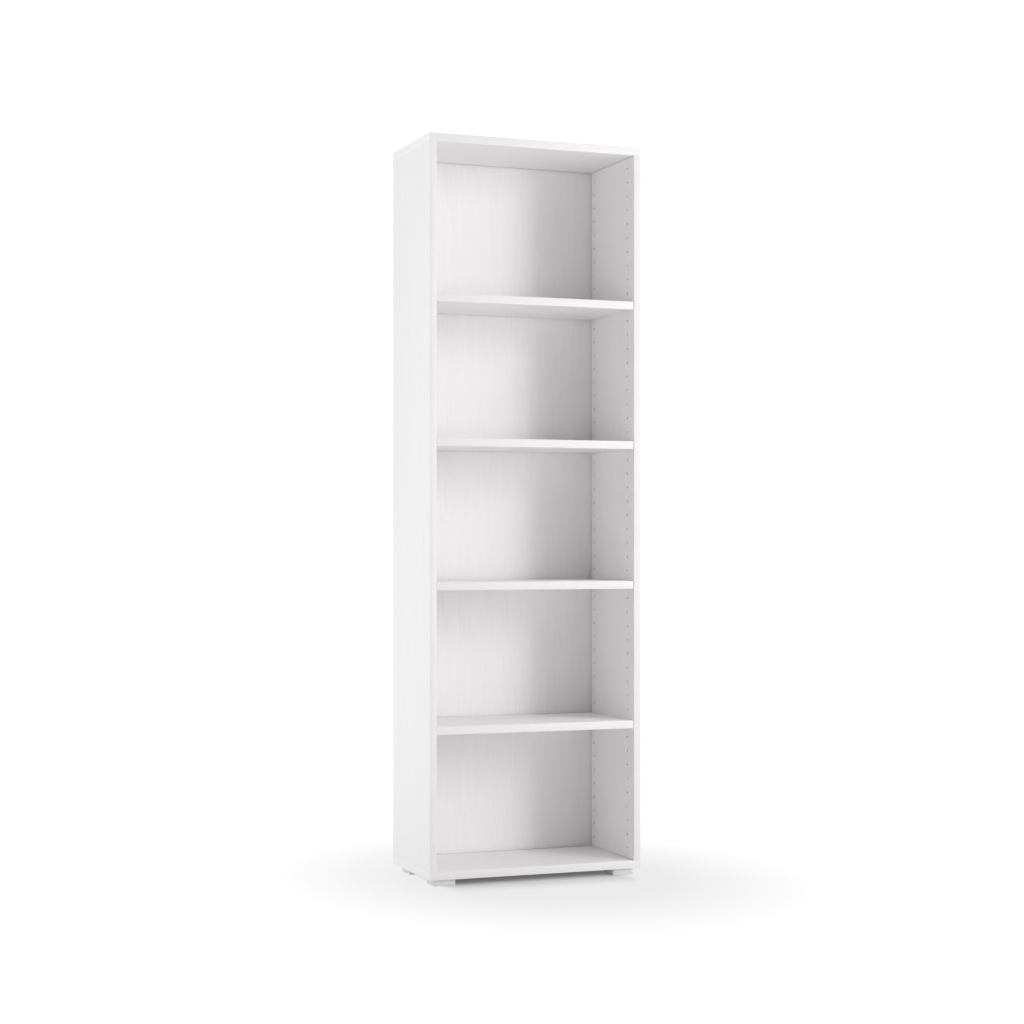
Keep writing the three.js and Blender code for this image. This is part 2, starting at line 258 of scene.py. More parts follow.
def foot_material():
    """Pale grey moulded plastic with a fine spark-eroded texture and a few scuffs."""
    material, tree, shader = start_material("foot_plastic")
    grain = noise(tree, [2600.0] * 3, detail=2.0)
    cloud = noise(tree, [90.0] * 3, detail=3.0)
    scuffs = spread(tree, noise(tree, (140.0, 140.0, 1900.0), detail=3.0), 0.62, 0.72)
    ground = blend_colours(tree, cloud, (0.69, 0.70, 0.695), (0.75, 0.76, 0.755))
    scuffed = reckon(tree, "MULTIPLY", scuffs, 0.35)
    colour = blend_colours(tree, scuffed, ground, (0.81, 0.82, 0.815))
    tree.links.new(colour, shader.inputs["Base Color"])
    tree.links.new(spread(tree, grain, 0.3, 0.7, 0.42, 0.58), shader.inputs["Roughness"])
    add_bump(tree, shader, grain, 0.05 * MM, 0.7)
    return material


def cap_material():
    """Smooth white plastic with the faint flow marks of a moulding."""
    material, tree, shader = start_material("cap_plastic")
    flow = noise(tree, (700.0, 160.0, 700.0), detail=3.0, distortion=1.2)
    colour = blend_colours(tree, flow, (0.82, 0.81, 0.81), (0.88, 0.87, 0.87))
    tree.links.new(colour, shader.inputs["Base Color"])
    tree.links.new(spread(tree, flow, 0.3, 0.7, 0.32, 0.42), shader.inputs["Roughness"])
    add_bump(tree, shader, flow, 0.01 * MM)
    return material


def metal_material(name, dark, light, roughest, ring_cells):
    """Plated steel: fine turned rings about the piece's own Z axis, and a cloudy plating."""
    material, tree, shader = start_material(name)
    rings = noise(tree, (20.0, 20.0, ring_cells), detail=3.0)
    cloud = noise(tree, [420.0] * 3, detail=4.0)
    tree.links.new(blend_colours(tree, cloud, dark, light), shader.inputs["Base Color"])
    shader.inputs["Metallic"].default_value = 1.0
    wear = reckon(tree, "MULTIPLY", reckon(tree, "ADD", rings, cloud), roughest / 2)
    tree.links.new(reckon(tree, "ADD", wear, roughest / 2), shader.inputs["Roughness"])
    add_bump(tree, shader, rings, 0.02 * MM)
    return material


def beech_material():
    """Beech: fine grain along the dowel with short dark flecks."""
    material, tree, shader = start_material("beech")
    grain = noise(tree, (900.0, 900.0, 30.0), detail=4.0)
    flecks = spread(tree, noise(tree, (2400.0, 2400.0, 260.0), detail=1.0), 0.62, 0.7)
    ground = blend_colours(tree, grain, (0.56, 0.38, 0.22), (0.74, 0.56, 0.37))
    colour = blend_colours(tree, flecks, ground, (0.40, 0.25, 0.13))
    tree.links.new(colour, shader.inputs["Base Color"])
    shader.inputs["Roughness"].default_value = 0.7
    add_bump(tree, shader, reckon(tree, "SUBTRACT", grain, flecks), 0.05 * MM)
    return material


X_AXIS, Z_AXIS = 0, 2
FOIL = {
    "upright": foil_material("foil_upright", Z_AXIS),
    "level": foil_material("foil_level", X_AXIS),
}
EDGING = {
    "upright": foil_material("edging_upright", Z_AXIS, EDGING_TINT),
    "level": foil_material("edging_level", X_AXIS, EDGING_TINT),
}
BACK_FOIL = foil_material("back_foil", Z_AXIS, BACK_TINT)
CORE = core_material()
HOLE_LINING = hole_material()
BACK_REAR = hardboard_material()
FOOT_PLASTIC = foot_material()
CAP_PLASTIC = cap_material()
PIN_STEEL = metal_material("pin_nickel", (0.60, 0.59, 0.57), (0.74, 0.73, 0.70), 0.30, 5200.0)
SCREW_STEEL = metal_material("screw_zinc", (0.52, 0.53, 0.55), (0.68, 0.69, 0.71), 0.42, 2400.0)
BEECH = beech_material()

# Material places on every board: its faces and ends, its front and rear edges, and two kinds of
# faces that cutters leave.
FACE, EDGE, CUT, LINED = range(4)

# ---------------------------------------------------------------- mesh helpers

ROUND_SIDES = 32
HOLE_SIDES = 24


def shade(mesh, sharp_angle=math.radians(40)):
    """Smooth shading, with creases at sharp angles and true flats on faces square to an axis."""
    for polygon in mesh.polygons:
        polygon.use_smooth = max(abs(value) for value in polygon.normal) < 0.99999
    mesh.set_sharp_from_angle(angle=sharp_angle)


def to_mesh(name, shape, materials):
    bmesh.ops.recalc_face_normals(shape, faces=shape.faces)
    mesh = bpy.data.meshes.new(name)
    shape.to_mesh(mesh)
    shape.free()
    for material in materials:
        mesh.materials.append(material)
    return mesh


def pour(mesh, shape):
    """Adds a mesh to a shape. The mesh is spent."""
    shape.from_mesh(mesh)
    bpy.data.meshes.remove(mesh)
    return shape


def join_shapes(shapes):
    """One shape from several that don't touch."""
    joined = bmesh.new()
    for shape in shapes:
        part = bpy.data.meshes.new("part")
        shape.to_mesh(part)
        shape.free()
        pour(part, joined)
    return joined


def place_shape(shape, matrix):
    bmesh.ops.transform(shape, matrix=matrix, verts=shape.verts)
    return shape


def mark(shape, index):
    for face in shape.faces:
        face.material_index = index
    return shape


def block(low, high):
    """A box between two corners."""
    shape = bmesh.new()
    bmesh.ops.create_cube(shape, size=1.0)
    scale = Matrix.Diagonal((*(high - low), 1.0))
    return place_shape(shape, Matrix.Translation((low + high) / 2) @ scale)


def soften(shape, edges, radius, segments):
    bmesh.ops.bevel(shape, geom=edges, offset=radius, segments=segments, profile=0.5,
                    affect="EDGES", clamp_overlap=True)


def turned(profile, sides=ROUND_SIDES, reshape=None):
    """A solid of revolution about Z from (radius, height) points that start and end on the axis.
    reshape(radius, height, angle) may give each point a radius of its own."""
    shape = bmesh.new()
    rings = []
    for radius, height in profile:
        if radius == 0:
            rings.append([shape.verts.new((0.0, 0.0, height))])
            continue
        ring = []
        for step in range(sides):
            angle = math.tau * step / sides
            reach = reshape(radius, height, angle) if reshape else radius
            point = (reach * math.cos(angle), reach * math.sin(angle), height)
            ring.append(shape.verts.new(point))
        rings.append(ring)
    for lower, upper in zip(rings, rings[1:]):
        for step in range(sides):
            after = step + 1
            corners = [lower[step % len(lower)], lower[after % len(lower)],
                       upper[after % len(upper)], upper[step % len(upper)]]
            shape.faces.new(dict.fromkeys(corners))
    return shape


def drill(radius, low, high, sides=HOLE_SIDES):
    """A straight cutter about Z."""
    return turned([(0, low), (radius, low), (radius, high), (0, high)], sides)


def extruded(outline, low, high):
    """A closed outline of (x, y) points, drawn out along Z."""
    shape = bmesh.new()
    base = shape.faces.new([shape.verts.new((x, y, low)) for x, y in outline])
    grown = bmesh.ops.extrude_face_region(shape, geom=[base])["geom"]
    top = [item for item in grown if isinstance(item, bmesh.types.BMVert)]
    bmesh.ops.translate(shape, vec=(0.0, 0.0, high - low), verts=top)
    return shape


def arc(centre, radius, start, end, steps):
    """Points along an arc, with its angles in quarter turns."""
    points = []
    for step in range(steps + 1):
        angle = (start + (end - start) * step / steps) * math.pi / 2
        points.append((centre[0] + radius * math.cos(angle), centre[1] + radius * math.sin(angle)))
    return points


def cut_away(shape, cutters, materials, name):
    """The mesh of a shape with every cutter taken out of it. Cut faces keep their cutter's mark."""
    target = bpy.data.objects.new("target", to_mesh("target", shape, materials))
    tool = bpy.data.objects.new("tool", to_mesh("tool", join_shapes(cutters), materials))
    for helper in (target, tool):
        bpy.context.scene.collection.objects.link(helper)
    cut = target.modifiers.new("cut", "BOOLEAN")
    cut.operation = "DIFFERENCE"
    cut.solver = "EXACT"
    cut.material_mode = "INDEX"
    cut.object = tool
    graph = bpy.context.evaluated_depsgraph_get()
    mesh = bpy.data.meshes.new_from_object(target.evaluated_get(graph))
    mesh.name = name
    for helper in (target, tool):
        spent = helper.data
        bpy.data.objects.remove(helper)
        bpy.data.meshes.remove(spent)
    return mesh


def add_piece(node, mesh, matrix=None):
    """Shows a finished mesh in place of its CAD node, on the same body."""
    shade(mesh)
    piece = bpy.data.objects.new(f"{node}_finished", mesh)
    if matrix:
        piece.matrix_world = matrix
    bpy.context.scene.collection.objects.link(piece)
    body = frame["nodes"][node]["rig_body"]
    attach(piece, body)
    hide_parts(node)
    return piece


def middle(node):
    low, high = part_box(node)
    return (low + high) / 2


# ---------------------------------------------------------------- places taken from the frame

SIDES = {"left": -1, "right": 1}
ROWS = ("front", "rear")
LEVELS = {"top": 1, "bottom": -1}
SHELVES = ("shelf_1", "shelf_2", "shelf_3", "shelf_4")

INNER_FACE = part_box("right_side_panel")[0].x
CASE_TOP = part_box("top_panel")[1].z
CASE_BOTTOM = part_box("bottom_panel")[0].z

# ---------------------------------------------------------------- cutters shared by the boards

HOLE_PITCH = 32 * MM
HOLES_PER_COLUMN = 50
HOLES_ABOVE_TOP_SHELF = 10
HOLE_RADIUS = 2.5 * MM
HOLE_DEPTH = 10 * MM
OVERCUT = 1 * MM
GROOVE_GAP = 0.3 * MM
SIDE_GROOVE_FRONT_GAP = 1.3 * MM  # in front of the back panel, where it shows as a dark line
LEVEL_GROOVE_FRONT_GAP = 2.5 * MM
JOINT_LINE_HEIGHT = 0.9 * MM  # the dark line inside the case where the boards meet
JOINT_LINE_DEPTH = 2 * MM

SCREW_HEAD_RADIUS = 5 * MM
SCREW_SHANK_RADIUS = 3.5 * MM
SCREW_HEAD_DEPTH = 3.5 * MM
SCREW_LENGTH = 50 * MM
SCREW_SUNK = 1.5 * MM
SCREW_GAP = 0.3 * MM

DOWEL_RADIUS = 4 * MM
FOOT_SCREW_RADIUS = 1.9 * MM


def hole_cutters(sign):
    """Both columns of blind holes in one side panel."""
    top = middle("shelf_1").z + HOLES_ABOVE_TOP_SHELF * HOLE_PITCH
    turn = Matrix.Rotation(sign * math.pi / 2, 4, "Y")
    cutters = []
    for row in ROWS:
        y = middle(f"shelf_1_pin_{row}_left").y
        for step in range(HOLES_PER_COLUMN):
            place = Matrix.Translation((sign * INNER_FACE, y, top - step * HOLE_PITCH))
            cutter = mark(drill(HOLE_RADIUS, -OVERCUT, HOLE_DEPTH), LINED)
            cutters.append(place_shape(cutter, place @ turn))
    return cutters


def at_level(level, x, y):
    """Turns what points down from z = 0 into what points inwards from the case's top or bottom."""
    if LEVELS[level] > 0:
        return Matrix.Translation((x, y, CASE_TOP))
    return Matrix.Translation((x, y, CASE_BOTTOM)) @ Matrix.Rotation(math.pi, 4, "X")


def corner_cutters(level, side):
    """The bores for one corner's two screws and its dowel."""
    seat = -SCREW_SUNK - SCREW_HEAD_DEPTH
    tip = -SCREW_SUNK - SCREW_LENGTH - OVERCUT
    cutters = []
    for row in ROWS:
        place = middle(f"corner_screw_{level}_{row}_{side}")
        cutter = turned([
            (0, tip),
            (SCREW_SHANK_RADIUS + SCREW_GAP, tip),
            (SCREW_SHANK_RADIUS + SCREW_GAP, seat),
            (SCREW_HEAD_RADIUS + SCREW_GAP, seat),
            (SCREW_HEAD_RADIUS + SCREW_GAP, OVERCUT),
            (0, OVERCUT),
        ], HOLE_SIDES)
        cutters.append(place_shape(mark(cutter, CUT), at_level(level, place.x, place.y)))
    low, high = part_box(f"dowel_{level}_{side}")
    centre = (low + high) / 2
    bore = mark(drill(DOWEL_RADIUS + SCREW_GAP, low.z - OVERCUT, high.z + OVERCUT), CUT)
    cutters.append(place_shape(bore, Matrix.Translation((centre.x, centre.y, 0.0))))
    return cutters


def groove_cutter(front_gap):
    """The groove around the back panel, with a gap of its own in front of it."""
    low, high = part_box("back_panel")
    margin = Vector((GROOVE_GAP, GROOVE_GAP, GROOVE_GAP))
    front_margin = Vector((GROOVE_GAP, front_gap, GROOVE_GAP))
    return mark(block(low - front_margin, high + margin), CUT)


def joint_line_cutters(node, sign):
    """Fine open joints along both ends of a side panel's inner face."""
    low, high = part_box(node)
    inner = high.x if sign < 0 else low.x
    near, far = sorted((inner - sign * OVERCUT, inner + sign * JOINT_LINE_DEPTH))
    ends = (
        (low.z - OVERCUT, low.z + JOINT_LINE_HEIGHT),
        (high.z - JOINT_LINE_HEIGHT, high.z + OVERCUT),
    )
    cutters = []
    for start, end in ends:
        front = Vector((near, low.y + OVERCUT, start))
        rear = Vector((far, high.y - OVERCUT, end))
        cutters.append(mark(block(front, rear), CUT))
    return cutters


def foot_screw_cutters():
    cutters = []
    for node in sorted(frame["nodes"]):
        if not node.startswith("foot_screw_"):
            continue
        low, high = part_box(node)
        centre = (low + high) / 2
        bore = mark(drill(FOOT_SCREW_RADIUS, CASE_BOTTOM - OVERCUT, high.z + OVERCUT), CUT)
        cutters.append(place_shape(bore, Matrix.Translation((centre.x, centre.y, 0.0))))
    return cutters


# ---------------------------------------------------------------- boards

BOARD_EDGE_RADIUS = 0.4 * MM
BOARD_EDGE_SEGMENTS = 3


def board_shape(node, shorter=0.0):
    """A board with softly broken edges, edged at its front and rear.
    shorter is what it gives up at each end along X."""
    low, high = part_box(node)
    trim = Vector((shorter, 0.0, 0.0))
    shape = block(low + trim, high - trim)
    soften(shape, list(shape.edges), BOARD_EDGE_RADIUS, BOARD_EDGE_SEGMENTS)
    shape.normal_update()
    for face in shape.faces:
        face.material_index = EDGE if abs(face.normal.y) > 0.2 else FACE
    return shape


def board_materials(grain):
    return [FOIL[grain], EDGING[grain], CORE, HOLE_LINING]


def add_side_panels():
    for side, sign in SIDES.items():
        node = f"{side}_side_panel"
        materials = board_materials("upright")
        # The joint lines cross the other cutters, so they are cut on their own.
        with_lines = cut_away(board_shape(node), joint_line_cutters(node, sign), materials, node)
        cutters = [*hole_cutters(sign), groove_cutter(SIDE_GROOVE_FRONT_GAP)]
        for level in LEVELS:
            cutters += corner_cutters(level, side)
        mesh = cut_away(pour(with_lines, bmesh.new()), cutters, materials, node)
        add_piece(node, mesh)


def add_top_and_bottom_panels():
    for level in LEVELS:
        node = f"{level}_panel"
        cutters = [groove_cutter(LEVEL_GROOVE_FRONT_GAP)]
        for side in SIDES:
            cutters += corner_cutters(level, side)
        if level == "bottom":
            cutters += foot_screw_cutters()
        mesh = cut_away(board_shape(node), cutters, board_materials("level"), node)
        add_piece(node, mesh)


def add_back_panel():
    shape = board_shape("back_panel")
    for face in shape.faces:
        face.material_index = FACE if face.normal.y < -0.5 else EDGE
    mesh = to_mesh("back_panel", shape, [BACK_FOIL, BACK_REAR])
    add_piece("back_panel", mesh)


# ---------------------------------------------------------------- shelves and pins

SHELF_END_RELIEF = 0.3 * MM  # edging set back, so that each end shows a dark line beside the case
POCKET_LENGTH = 20 * MM
POCKET_GAP = 0.4 * MM
POCKET_TOP_GAP = 0.1 * MM
PIN_HEAD_RADIUS = 3.5 * MM
PIN_HEAD_LENGTH = 9 * MM
PIN_STEM_RADIUS = 2.4 * MM
PIN_STEM_LENGTH = 8.5 * MM


def pocket_cutters(shelf):
    """Milled pockets under a shelf's ends, each with a round inner end and a flat roof."""
    low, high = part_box(shelf)
    half = PIN_HEAD_RADIUS + POCKET_GAP
    straight = POCKET_LENGTH - half
    outline = [(-OVERCUT, half), (-OVERCUT, -half), *arc((straight, 0.0), half, -1, 1, 12)]
    cutters = []
    for row in ROWS:
        for side, sign in SIDES.items():
            pin = middle(f"{shelf}_pin_{row}_{side}")
            roof = pin.z + PIN_HEAD_RADIUS + POCKET_TOP_GAP
            cutter = mark(extruded(outline, low.z - OVERCUT, roof), LINED)
            end = high.x if sign > 0 else low.x
            turn = Matrix.Rotation(math.pi if sign > 0 else 0.0, 4, "Z")
            cutters.append(place_shape(cutter, Matrix.Translation((end, pin.y, 0.0)) @ turn))
    return cutters


def add_shelves():
    for shelf in SHELVES:
        shape = board_shape(shelf, shorter=SHELF_END_RELIEF)
        mesh = cut_away(shape, pocket_cutters(shelf), board_materials("level"), shelf)
        add_piece(shelf, mesh)


def pin_mesh():
    """A turned steel pin that points out of its hole along +Z, with a grip groove in its head.
    Its collar rests on the side panel."""
    tip = -PIN_STEM_LENGTH
    rim = PIN_HEAD_LENGTH
    soft = 0.3 * MM
    groove = 0.35 * MM
    groove_start = 2 * MM
    groove_end = 2.6 * MM + 2 * groove
    profile = [
        (0, tip),
        (PIN_STEM_RADIUS - 3 * soft, tip),
        (PIN_STEM_RADIUS - soft, tip + soft),
        (PIN_STEM_RADIUS, tip + 3 * soft),
        (PIN_STEM_RADIUS, -2 * soft),
        (PIN_STEM_RADIUS - soft, -soft),
        (PIN_STEM_RADIUS - soft, 0),
        (PIN_HEAD_RADIUS - soft, 0),
        (PIN_HEAD_RADIUS, soft),
        (PIN_HEAD_RADIUS, groove_start),
        (PIN_HEAD_RADIUS - groove, groove_start + groove),
        (PIN_HEAD_RADIUS - groove, groove_end - groove),
        (PIN_HEAD_RADIUS, groove_end),
        (PIN_HEAD_RADIUS, rim - 3 * soft),
        (PIN_HEAD_RADIUS - soft, rim - soft),
        (PIN_HEAD_RADIUS - 3 * soft, rim),
        (0, rim),
    ]
    return to_mesh("pin", turned(profile), [PIN_STEEL])


def add_pins():
    mesh = pin_mesh()
    for shelf in SHELVES:
        for row in ROWS:
            for side, sign in SIDES.items():
                node = f"{shelf}_pin_{row}_{side}"
                centre = middle(node)
                place = Matrix.Translation((sign * INNER_FACE, centre.y, centre.z))
                inwards = Matrix.Rotation(-sign * math.pi / 2, 4, "Y")
                add_piece(node, mesh, place @ inwards)


# ---------------------------------------------------------------- fasteners

CORNER_THREAD_PITCH = 3.6 * MM
FOOT_THREAD_PITCH = 1.8 * MM
THREAD_DEPTH = 0.28  # a share of the shank's radius, as are the next two
POINT_RADIUS = 0.3
POINT_FLAT = 0.2
HEAD_RIM = 0.3  # shares of the head's depth
HEAD_ROUNDING = 0.06
HEAD_FLAT = 0.96  # a share of the head's radius
THREAD_STEPS = 6  # rings for each turn of a thread
THREAD_SIDES = 24
HEX_KEY_RADIUS = 2.2 * MM
HEX_KEY_DEPTH = 3 * MM
FOOT_SCREW_HEAD_RADIUS = 4 * MM
FOOT_SCREW_HEAD_DEPTH = 2.5 * MM
FOOT_SCREW_LENGTH = 18.5 * MM
CROSS_DEPTH = 1.6 * MM
CROSS_REACH = 2.2 * MM
CROSS_WIDTH = 0.7 * MM


def screw_shape(head_radius, head_depth, shank_radius, length, pitch, plain, socket=()):
    """A countersunk screw that points down from z = 0. plain is its unthreaded length below the
    head, and socket holds the (radius, height) points of a hexagon socket, from its rim."""
    thread_top = -head_depth - plain
    tip_length = 2 * shank_radius
    point = -length
    groove = THREAD_DEPTH * shank_radius

    def thread(radius, height, angle):
        if height > -head_depth and (radius, height) in socket:
            from_flat = angle % (math.tau / 6) - math.tau / 12
            return radius * math.cos(math.tau / 12) / math.cos(from_flat)
        if not point < height < thread_top:
            return radius
        phase = (height / pitch - angle / math.tau) % 1.0
        ridge = max(0.0, 1.0 - 3.0 * abs(phase - 0.5))
        taper = min(1.0, (height - point) / tip_length)
        core = shank_radius * (POINT_RADIUS + (1.0 - POINT_RADIUS) * taper)
        return core - groove * (1.0 - ridge)

    turns = (thread_top - point) / pitch
    count = round(turns * THREAD_STEPS)
    profile = [(0, point), (POINT_FLAT * shank_radius, point)]
    for step in range(1, count):
        profile.append((shank_radius, point + (thread_top - point) * step / count))
    profile += [
        (shank_radius, thread_top),
        (shank_radius, -head_depth),
        (head_radius, -HEAD_RIM * head_depth),
        (head_radius, -HEAD_ROUNDING * head_depth),
        (HEAD_FLAT * head_radius, 0),
        *(socket or [(0, 0)]),
    ]
    return turned(profile, THREAD_SIDES, thread)


def corner_screw_mesh():
    rim = 0.2 * MM
    socket = [
        (HEX_KEY_RADIUS + rim, 0),
        (HEX_KEY_RADIUS, -rim),
        (HEX_KEY_RADIUS, -HEX_KEY_DEPTH),
        (0, -HEX_KEY_DEPTH - rim),
    ]
    shape = screw_shape(SCREW_HEAD_RADIUS, SCREW_HEAD_DEPTH, SCREW_SHANK_RADIUS, SCREW_LENGTH,
                        CORNER_THREAD_PITCH, plain=9 * MM, socket=socket)
    return to_mesh("corner_screw", shape, [SCREW_STEEL])


def foot_screw_mesh():
    shape = screw_shape(FOOT_SCREW_HEAD_RADIUS, FOOT_SCREW_HEAD_DEPTH, FOOT_SCREW_RADIUS,
                        FOOT_SCREW_LENGTH, FOOT_THREAD_PITCH, plain=2 * MM)
    reach, half = CROSS_REACH, CROSS_WIDTH / 2
    arm = ((reach, -half), (reach, half), (half, half))
    cross = [*arm]
    for _ in range(3):
        arm = [(-y, x) for x, y in arm]
        cross += arm
    recess = extruded(cross, -CROSS_DEPTH, OVERCUT)
    return cut_away(shape, [recess], [SCREW_STEEL], "foot_screw")


def add_corner_screws():
    mesh = corner_screw_mesh()
    for level, up in LEVELS.items():
        for row in ROWS:
            for side in SIDES:
                node = f"corner_screw_{level}_{row}_{side}"
                centre = middle(node)
                sunk = Matrix.Translation((0.0, 0.0, -SCREW_SUNK))
                add_piece(node, mesh, at_level(level, centre.x, centre.y) @ sunk)


SPIGOT_RADIUS = 1.8 * MM
# Millimetres inside the cap's rim and below its top.
CAP_CROWN = ((0.0, 0.45), (0.12, 0.2), (0.4, 0.06), (1.2, 0.0))


def add_screw_caps():
    """Flush caps over the upper corner screws, a little crowned, with a spigot in the socket."""
    for row in ROWS:
        for side in SIDES:
            node = f"screw_cap_{row}_{side}"
            low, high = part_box(node)
            centre = (low + high) / 2
            radius = (high.x - low.x) / 2
            top = high.z - low.z
            spigot = top - (SCREW_SUNK - 0.1 * MM)
            profile = [
                (0, 0),
                (SPIGOT_RADIUS - 0.2 * MM, 0),
                (SPIGOT_RADIUS, 0.3 * MM),
                (SPIGOT_RADIUS, spigot),
                (radius, spigot),
                *((radius - inset * MM, top - drop * MM) for inset, drop in CAP_CROWN),
                (0, top),
            ]
            mesh = to_mesh(node, turned(profile), [CAP_PLASTIC])
            add_piece(node, mesh, Matrix.Translation((centre.x, centre.y, low.z)))


def add_dowels():
    """Fluted beech dowels with chamfered ends."""
    flute = 0.22 * MM
    flutes = 12

    def fluted(radius, height, angle):
        return radius - flute * max(0.0, math.cos(flutes * angle))

    for level in LEVELS:
        for side in SIDES:
            node = f"dowel_{level}_{side}"
            low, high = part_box(node)
            centre = (low + high) / 2
            length = high.z - low.z
            chamfer = 1 * MM
            profile = [
                (0, 0),
                (DOWEL_RADIUS - chamfer, 0),
                (DOWEL_RADIUS, chamfer),
                (DOWEL_RADIUS, length - chamfer),
                (DOWEL_RADIUS - chamfer, length),
                (0, length),
            ]
            mesh = to_mesh(node, turned(profile, 6 * flutes, fluted), [BEECH])
            add_piece(node, mesh, Matrix.Translation((centre.x, centre.y, low.z)))


# ---------------------------------------------------------------- feet

FOOT_CORNER_RADIUS = 3 * MM
FOOT_EDGE_RADIUS = 0.9 * MM
FOOT_SCREW_SPACING = 28 * MM
COUNTERBORE_RADIUS = 4.6 * MM
COUNTERBORE_DEPTH = 9 * MM
COUNTERBORE_CHAMFER = 0.6 * MM


def foot_mesh():
    """A pad foot about its own middle, standing on z = 0, with two stepped screw holes."""
    low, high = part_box("foot_front_left")
    x, y, height = (high.x - low.x) / 2, (high.y - low.y) / 2, high.z - low.z
    r = FOOT_CORNER_RADIUS
    outline = []
    for quarter, (sign_x, sign_y) in enumerate(((1, 1), (-1, 1), (-1, -1), (1, -1))):
        outline += arc((sign_x * (x - r), sign_y * (y - r)), r, quarter, quarter + 1, 6)
    shape = extruded(outline, 0.0, height)
    rims = []
    for edge in shape.edges:
        first, second = edge.verts
        if abs(first.co.z - second.co.z) < height / 2:
            rims.append(edge)
    soften(shape, rims, FOOT_EDGE_RADIUS, 3)
    cutters = []
    for offset in (-FOOT_SCREW_SPACING / 2, FOOT_SCREW_SPACING / 2):
        cutter = turned([
            (0, -OVERCUT),
            (COUNTERBORE_RADIUS + COUNTERBORE_CHAMFER, -OVERCUT),
            (COUNTERBORE_RADIUS + COUNTERBORE_CHAMFER, 0),
            (COUNTERBORE_RADIUS, COUNTERBORE_CHAMFER),
            (COUNTERBORE_RADIUS, COUNTERBORE_DEPTH),
            (FOOT_SCREW_RADIUS + SCREW_GAP, COUNTERBORE_DEPTH),
            (FOOT_SCREW_RADIUS + SCREW_GAP, height + OVERCUT),
            (0, height + OVERCUT),
        ])
        cutters.append(place_shape(cutter, Matrix.Translation((offset, 0.0, 0.0))))
    return cut_away(shape, cutters, [FOOT_PLASTIC], "foot")


def add_feet():
    foot = foot_mesh()
    screw = foot_screw_mesh()
    for row in ROWS:
        for side in SIDES:
            node = f"foot_{row}_{side}"
            centre = middle(node)
            add_piece(node, foot, Matrix.Translation((centre.x, centre.y, 0.0)))
            for place in ("outer", "inner"):
                screw_node = f"foot_screw_{row}_{side}_{place}"
                low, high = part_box(screw_node)
                spot = Vector(((low.x + high.x) / 2, (low.y + high.y) / 2, low.z))
                upside_down = Matrix.Rotation(math.pi, 4, "X")
                add_piece(screw_node, screw, Matrix.Translation(spot) @ upside_down)


add_side_panels()
add_top_and_bottom_panels()
add_back_panel()
add_shelves()
add_pins()
add_corner_screws()
add_screw_caps()
add_dowels()
add_feet()

# ---------------------------------------------------------------- floor and light

FLOOR_SIZE = 60.0
FLOOR_DARK = (0.795, 0.8, 0.8)
FLOOR_LIGHT = (0.81, 0.81, 0.81)
FLOOR_GLOW = 0.79  # the share of its glow that the floor casts on the object
PLAIN_WHITE = 1.05  # what the camera sees of the far floor and of the background
CONTACT_CENTRE = (0.0, -0.06, 0.0)  # under the case, where the floor's true shading shows
CONTACT_HALF = (0.20, 0.07, 0.0)
CONTACT_FADE = 0.12  # how far in front of and behind that place the shading fades out
SIDE_HASTE = (3.0, 1.0, 1.0)  # it fades out so many times faster to the sides
UNDER_GLOW = 0.05  # the glow's share under the case
PAINTED_SHADE_GLOW = 0.835  # the glow beside the case, dimmed there as a painted shade that rises to plain white across an oval pool
SHADE_POOL_CENTRE = (0.03, -0.08, 0.0)
SHADE_POOL_REACH = (0.62, 0.76, 1.0)
SHADE_POOL_FADE = (0.42, 1.1)  # shares of the pool's reach
AIM = Vector((0.0, 0.0, 0.84))
LIGHT_DISTANCE = 5.0
WORLD_STRENGTH = 0.75
WORLD_FADE = (0.2, 0.6)  # heights of direction between which the ambient light comes up

# Name, azimuth, elevation, width, height and power. Azimuth is turned from the front towards the
# right, and both angles are in degrees.
LIGHTS = (
    ("key_inner", 28.5, 12, 0.45, 2.2, 9),
    ("key", 33.5, 12, 0.45, 2.2, 36),
    ("key_outer", 39, 12, 0.6, 2.2, 24),
    ("key_side", 45, 15, 1.4, 2.2, 45),
    ("left_fill", -110, 10, 2.0, 2.2, 99),
    ("low_left", -60, -4, 1.5, 0.8, 12),
    ("low_right", 20, -4, 2.0, 0.8, 18),
)


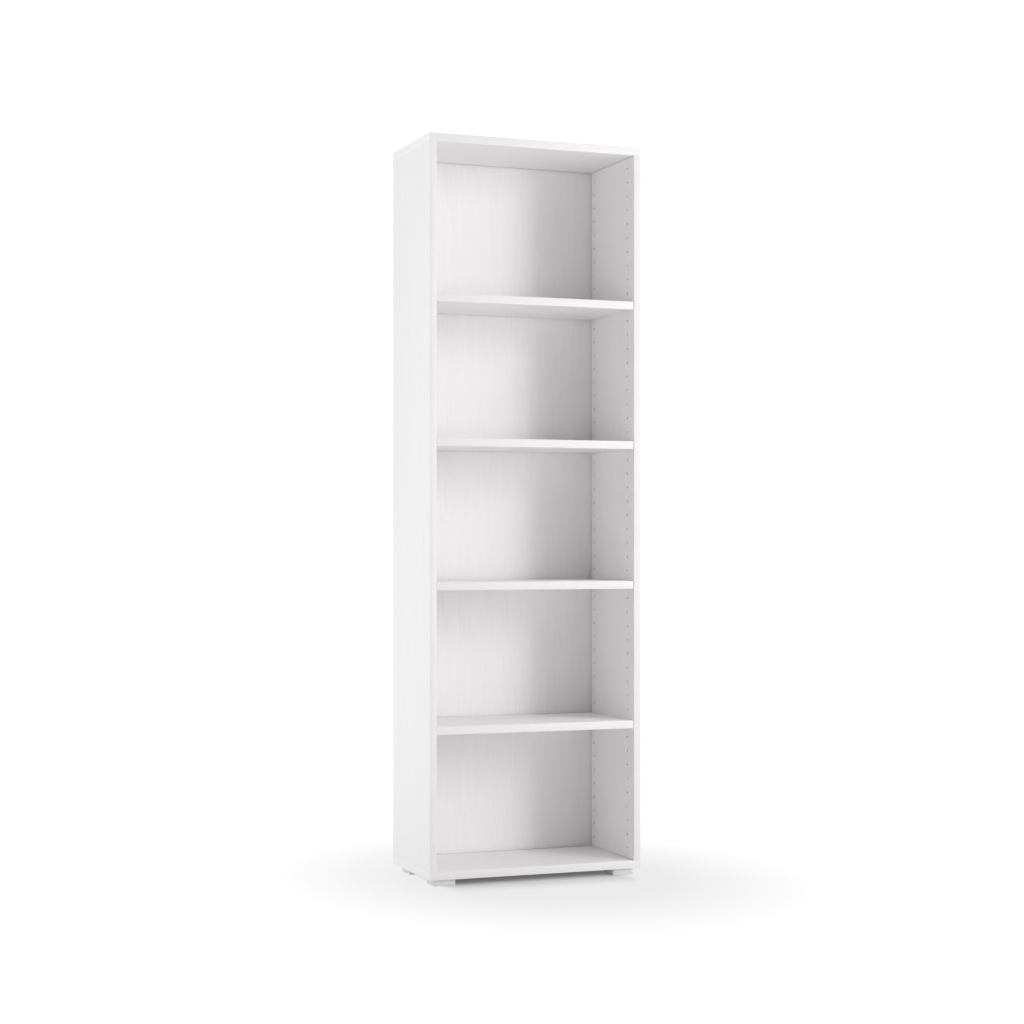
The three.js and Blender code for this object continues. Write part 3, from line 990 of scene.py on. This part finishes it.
def make_floor():
    """A plain pale floor that glows and so also lights the object, with painted shade in an oval
    pool around the case, turning into an even white away from the object.
    """
    material, tree, shader = start_material("floor")
    shader.inputs["Roughness"].default_value = 0.9
    shader.inputs["Specular IOR Level"].default_value = 0.2
    cloud = noise(tree, [3.0] * 3)
    tree.links.new(blend_colours(tree, cloud, FLOOR_DARK, FLOOR_LIGHT), shader.inputs["Base Color"])
    place = add(tree, "ShaderNodeTexCoord", {}).outputs["Object"]
    # Painted shade: the floor's glow is dimmer in an oval pool around the case.
    from_centre = arrow(tree, "SUBTRACT", place, SHADE_POOL_CENTRE)
    shade_pool_distance = arrow(tree, "LENGTH", arrow(tree, "DIVIDE", from_centre, SHADE_POOL_REACH))
    pool_shaded_glow = spread(tree, shade_pool_distance, *SHADE_POOL_FADE, PAINTED_SHADE_GLOW, PLAIN_WHITE)
    seen = add(tree, "ShaderNodeLightPath", {}).outputs["Is Camera Ray"]
    strength = reckon(tree, "MULTIPLY", pool_shaded_glow, spread(tree, seen, 0.0, 1.0, FLOOR_GLOW, 1.0))
    glow = add(tree, "ShaderNodeEmission", {"Color": (1.0, 1.0, 1.0, 1.0), "Strength": strength})
    beside = arrow(tree, "ABSOLUTE", arrow(tree, "SUBTRACT", place, CONTACT_CENTRE))
    beyond = arrow(tree, "SUBTRACT", beside, CONTACT_HALF)
    outside = arrow(tree, "MAXIMUM", beyond, (0.0, 0.0, 0.0))
    gap = arrow(tree, "LENGTH", arrow(tree, "MULTIPLY", outside, SIDE_HASTE))
    fade = {"Value": gap, "From Max": CONTACT_FADE, "To Min": UNDER_GLOW}
    share = add(tree, "ShaderNodeMapRange", fade, interpolation_type="SMOOTHSTEP")
    mixed = add(tree, "ShaderNodeMixShader", {"Fac": share.outputs["Result"]})
    tree.links.new(shader.outputs["BSDF"], mixed.inputs[1])
    tree.links.new(glow.outputs["Emission"], mixed.inputs[2])
    tree.links.new(mixed.outputs["Shader"], tree.nodes["Material Output"].inputs["Surface"])
    half = FLOOR_SIZE / 2
    mesh = bpy.data.meshes.new("floor")
    corners = [(-half, -half, 0.0), (half, -half, 0.0), (half, half, 0.0), (-half, half, 0.0)]
    mesh.from_pydata(corners, [], [(0, 1, 2, 3)])
    mesh.materials.append(material)
    floor = bpy.data.objects.new("floor", mesh)
    bpy.context.scene.collection.objects.link(floor)


def make_world():
    """Even light from above that fades out towards the horizon. The camera sees plain white."""
    world = bpy.data.worlds.new("studio")
    world.use_nodes = True
    tree = world.node_tree
    place = add(tree, "ShaderNodeTexCoord", {}).outputs["Generated"]
    height = add(tree, "ShaderNodeSeparateXYZ", {"Vector": place}).outputs["Z"]
    ambient = spread(tree, height, *WORLD_FADE, 0.0, WORLD_STRENGTH)
    seen = add(tree, "ShaderNodeLightPath", {}).outputs["Is Camera Ray"]
    background = tree.nodes["Background"]
    background.inputs["Color"].default_value = (1.0, 1.0, 1.0, 1.0)
    tree.links.new(reckon(tree, "MAXIMUM", ambient, reckon(tree, "MULTIPLY", seen, PLAIN_WHITE)),
                   background.inputs["Strength"])
    bpy.context.scene.world = world


def make_lights():
    for name, azimuth, elevation, width, height, power in LIGHTS:
        data = bpy.data.lights.new(name, "AREA")
        data.shape = "RECTANGLE"
        data.size = width
        data.size_y = height
        data.energy = power
        lamp = bpy.data.objects.new(name, data)
        turn, rise = math.radians(azimuth), math.radians(elevation)
        flat = math.cos(rise)
        away = Vector((math.sin(turn) * flat, -math.cos(turn) * flat, math.sin(rise)))
        lamp.location = AIM + LIGHT_DISTANCE * away
        lamp.rotation_euler = (-away).to_track_quat("-Z", "Y").to_euler()
        lamp.visible_camera = False
        bpy.context.scene.collection.objects.link(lamp)


make_floor()
make_world()
make_lights()
bpy.context.scene.view_settings.view_transform = "Standard"
